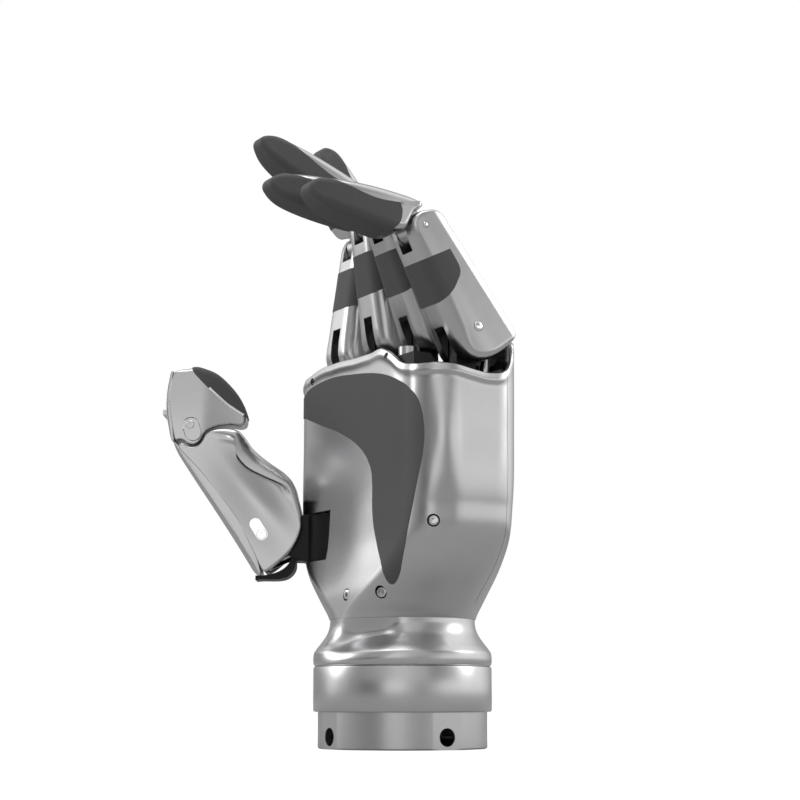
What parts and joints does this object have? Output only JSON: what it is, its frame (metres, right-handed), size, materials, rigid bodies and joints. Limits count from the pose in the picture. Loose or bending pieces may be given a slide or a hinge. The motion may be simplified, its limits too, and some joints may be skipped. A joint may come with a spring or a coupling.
{
  "type": "dexterous robot hand",
  "caption": "Humanoid robot hand with jointed fingers and a swivelling thumb on a palm shell with rubber grip pads, above a ring-shaped wrist socket.",
  "frame": {"origin": "centre of the wrist ring's lower face", "axes": "+Z from the wrist to the fingertips, -Y the way the palm faces, +X the little finger's side"},
  "size_m": [0.1117, 0.0903, 0.2048],
  "materials": {
    "satin_metal": "satin",
    "grip_rubber": "matte",
    "black_plastic": "semi-matt",
    "steel": "turned",
    "motor_can": "plated",
    "circuit_board": "solder mask"
  },
  "bodies": {
    "palm": {"wrist_ring": "satin_metal", "wrist_collar": "satin_metal", "wrist_neck": "satin_metal", "palm_shell": "satin_metal", "back_cover": "satin_metal", "palm_grip_pad": "grip_rubber", "palm_frame": "black_plastic", "knuckle_bridge": "black_plastic", "knuckle_boss": "satin_metal", "knuckle_pins": "steel", "palm_screws": "steel", "control_board": "circuit_board", "wrist_connector": "black_plastic", "thumb_yaw_bearing": "steel", "thumb_yaw_motor": "motor_can", "index_actuator": "motor_can", "middle_actuator": "motor_can", "ring_actuator": "motor_can", "little_actuator": "motor_can"},
    "index_proximal": {"index_proximal_shell": "satin_metal", "index_grip_band": "grip_rubber", "index_joint_pin": "steel"},
    "index_fingertip": {"index_distal_shell": "satin_metal", "index_tip_pad": "grip_rubber"},
    "index_rod": {"index_push_rod": "steel"},
    "middle_proximal": {"middle_proximal_shell": "satin_metal", "middle_grip_band": "grip_rubber", "middle_joint_pin": "steel"},
    "middle_fingertip": {"middle_distal_shell": "satin_metal", "middle_tip_pad": "grip_rubber"},
    "middle_rod": {"middle_push_rod": "steel"},
    "ring_proximal": {"ring_proximal_shell": "satin_metal", "ring_grip_band": "grip_rubber", "ring_joint_pin": "steel"},
    "ring_fingertip": {"ring_distal_shell": "satin_metal", "ring_tip_pad": "grip_rubber"},
    "ring_rod": {"ring_push_rod": "steel"},
    "little_proximal": {"little_proximal_shell": "satin_metal", "little_grip_band": "grip_rubber", "little_joint_pin": "steel"},
    "little_fingertip": {"little_distal_shell": "satin_metal", "little_tip_pad": "grip_rubber"},
    "little_rod": {"little_push_rod": "steel"},
    "thumb_base": {"thumb_hub": "black_plastic", "thumb_pivot_pin": "steel"},
    "thumb_link": {"thumb_body_shell": "satin_metal", "thumb_tip_pin": "steel"},
    "thumb_end": {"thumb_tip_shell": "satin_metal", "thumb_tip_pad": "grip_rubber"},
    "thumb_rod": {"thumb_push_rod": "steel"}
  },
  "joints": [
    {"name": "index_knuckle", "type": "hinge", "parent": "palm", "child": "index_proximal", "pos_m": [-0.03218, 0.0002, 0.1359], "axis": [1, 0, 0], "range_deg": [-1, 64]},
    {"name": "index_fingertip", "type": "hinge", "parent": "index_proximal", "child": "index_fingertip", "pos_m": [-0.03218, 0.00268, 0.17131], "axis": [1, 0, 0], "range_deg": [-1.1, 38.9]},
    {"name": "index_rod_slide", "type": "slide", "parent": "palm", "child": "index_rod", "axis": [0, 0, 1], "range_m": [-0.00036, 0.01025]},
    {"name": "middle_knuckle", "type": "hinge", "parent": "palm", "child": "middle_proximal", "pos_m": [-0.01073, 0.0012, 0.1383], "axis": [1, 0, 0], "range_deg": [-17, 48]},
    {"name": "middle_fingertip", "type": "hinge", "parent": "middle_proximal", "child": "middle_fingertip", "pos_m": [-0.01073, -0.00618, 0.17302], "axis": [1, 0, 0], "range_deg": [-10.7, 29.3]},
    {"name": "middle_rod_slide", "type": "slide", "parent": "palm", "child": "middle_rod", "axis": [0, 0, 1], "range_m": [-0.00287, 0.00774]},
    {"name": "ring_knuckle", "type": "hinge", "parent": "palm", "child": "ring_proximal", "pos_m": [0.01073, 0.0024, 0.1364], "axis": [1, 0, 0], "range_deg": [-30, 35]},
    {"name": "ring_fingertip", "type": "hinge", "parent": "ring_proximal", "child": "ring_fingertip", "pos_m": [0.01073, -0.0126, 0.16857], "axis": [1, 0, 0], "range_deg": [-18.5, 21.5]},
    {"name": "ring_rod_slide", "type": "slide", "parent": "palm", "child": "ring_rod", "axis": [0, 0, 1], "range_m": [-0.00491, 0.0057]},
    {"name": "little_knuckle", "type": "hinge", "parent": "palm", "child": "little_proximal", "pos_m": [0.03218, 0.0028, 0.1298], "axis": [1, 0, 0], "range_deg": [-36, 29]},
    {"name": "little_fingertip", "type": "hinge", "parent": "little_proximal", "child": "little_fingertip", "pos_m": [0.03218, -0.01548, 0.16023], "axis": [1, 0, 0], "range_deg": [-22.1, 17.9]},
    {"name": "little_rod_slide", "type": "slide", "parent": "palm", "child": "little_rod", "axis": [0, 0, 1], "range_m": [-0.00585, 0.00475]},
    {"name": "thumb_yaw", "type": "hinge", "parent": "palm", "child": "thumb_base", "pos_m": [-0.031, -0.0075, 0.068], "axis": [0, 0, -1], "range_deg": [-10, 45]},
    {"name": "thumb_pitch", "type": "hinge", "parent": "thumb_base", "child": "thumb_link", "pos_m": [-0.0446, -0.03013, 0.0715], "axis": [0.8572, -0.515, 0], "range_deg": [-8, 25]},
    {"name": "thumb_fingertip", "type": "hinge", "parent": "thumb_link", "child": "thumb_end", "pos_m": [-0.05722, -0.05113, 0.1064], "axis": [0.8572, -0.515, 0], "range_deg": [-5.3, 15.5]},
    {"name": "thumb_rod_slide", "type": "slide", "parent": "thumb_base", "child": "thumb_rod", "axis": [0.4754, 0.7912, 0.3846], "range_m": [-0.00204, 0.00596]}
  ],
  "couplings": [
    {"joint": "index_fingertip", "follows": "index_knuckle", "ratio": 0.6},
    {"joint": "index_rod_slide", "follows": "index_knuckle", "m_per_rad": 0.009},
    {"joint": "middle_fingertip", "follows": "middle_knuckle", "ratio": 0.6},
    {"joint": "middle_rod_slide", "follows": "middle_knuckle", "m_per_rad": 0.009},
    {"joint": "ring_fingertip", "follows": "ring_knuckle", "ratio": 0.6},
    {"joint": "ring_rod_slide", "follows": "ring_knuckle", "m_per_rad": 0.009},
    {"joint": "little_fingertip", "follows": "little_knuckle", "ratio": 0.6},
    {"joint": "little_rod_slide", "follows": "little_knuckle", "m_per_rad": 0.009},
    {"joint": "thumb_fingertip", "follows": "thumb_pitch", "ratio": 0.6},
    {"joint": "thumb_rod_slide", "follows": "thumb_pitch", "m_per_rad": 0.0132}
  ]
}
